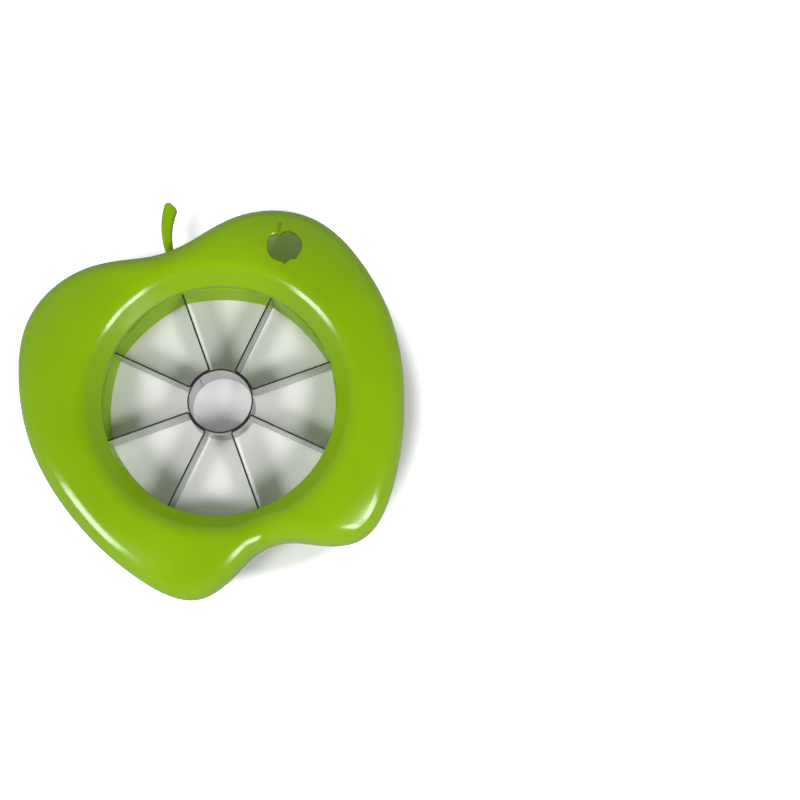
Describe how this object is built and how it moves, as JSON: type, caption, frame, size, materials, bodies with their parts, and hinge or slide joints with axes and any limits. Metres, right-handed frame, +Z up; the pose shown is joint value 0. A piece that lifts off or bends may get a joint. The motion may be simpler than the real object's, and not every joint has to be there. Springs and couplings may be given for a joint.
{
  "type": "apple slicer and corer",
  "caption": "Hand-pressed apple slicer: thin steel blades run from a core tube to a round holder in an apple-shaped green plastic grip with a stalk and a hang hole.",
  "frame": {"origin": "on the hub axis, at the lower end of the core tube, in the plane the slicer stands on", "axes": "+Z up, against the cutting direction; +Y towards the stalk; +X to the side of the hang hole"},
  "size_m": [0.1338, 0.1386, 0.0235],
  "materials": {
    "green_plastic": "glossy moulded",
    "steel": "satin sheet"
  },
  "bodies": {
    "root": {"frame": "green_plastic", "blade_ring": "green_plastic", "core_tube": "steel", "blade_strip_1": "steel", "blade_strip_2": "steel", "blade_strip_3": "steel", "blade_strip_4": "steel"}
  },
  "joints": []
}
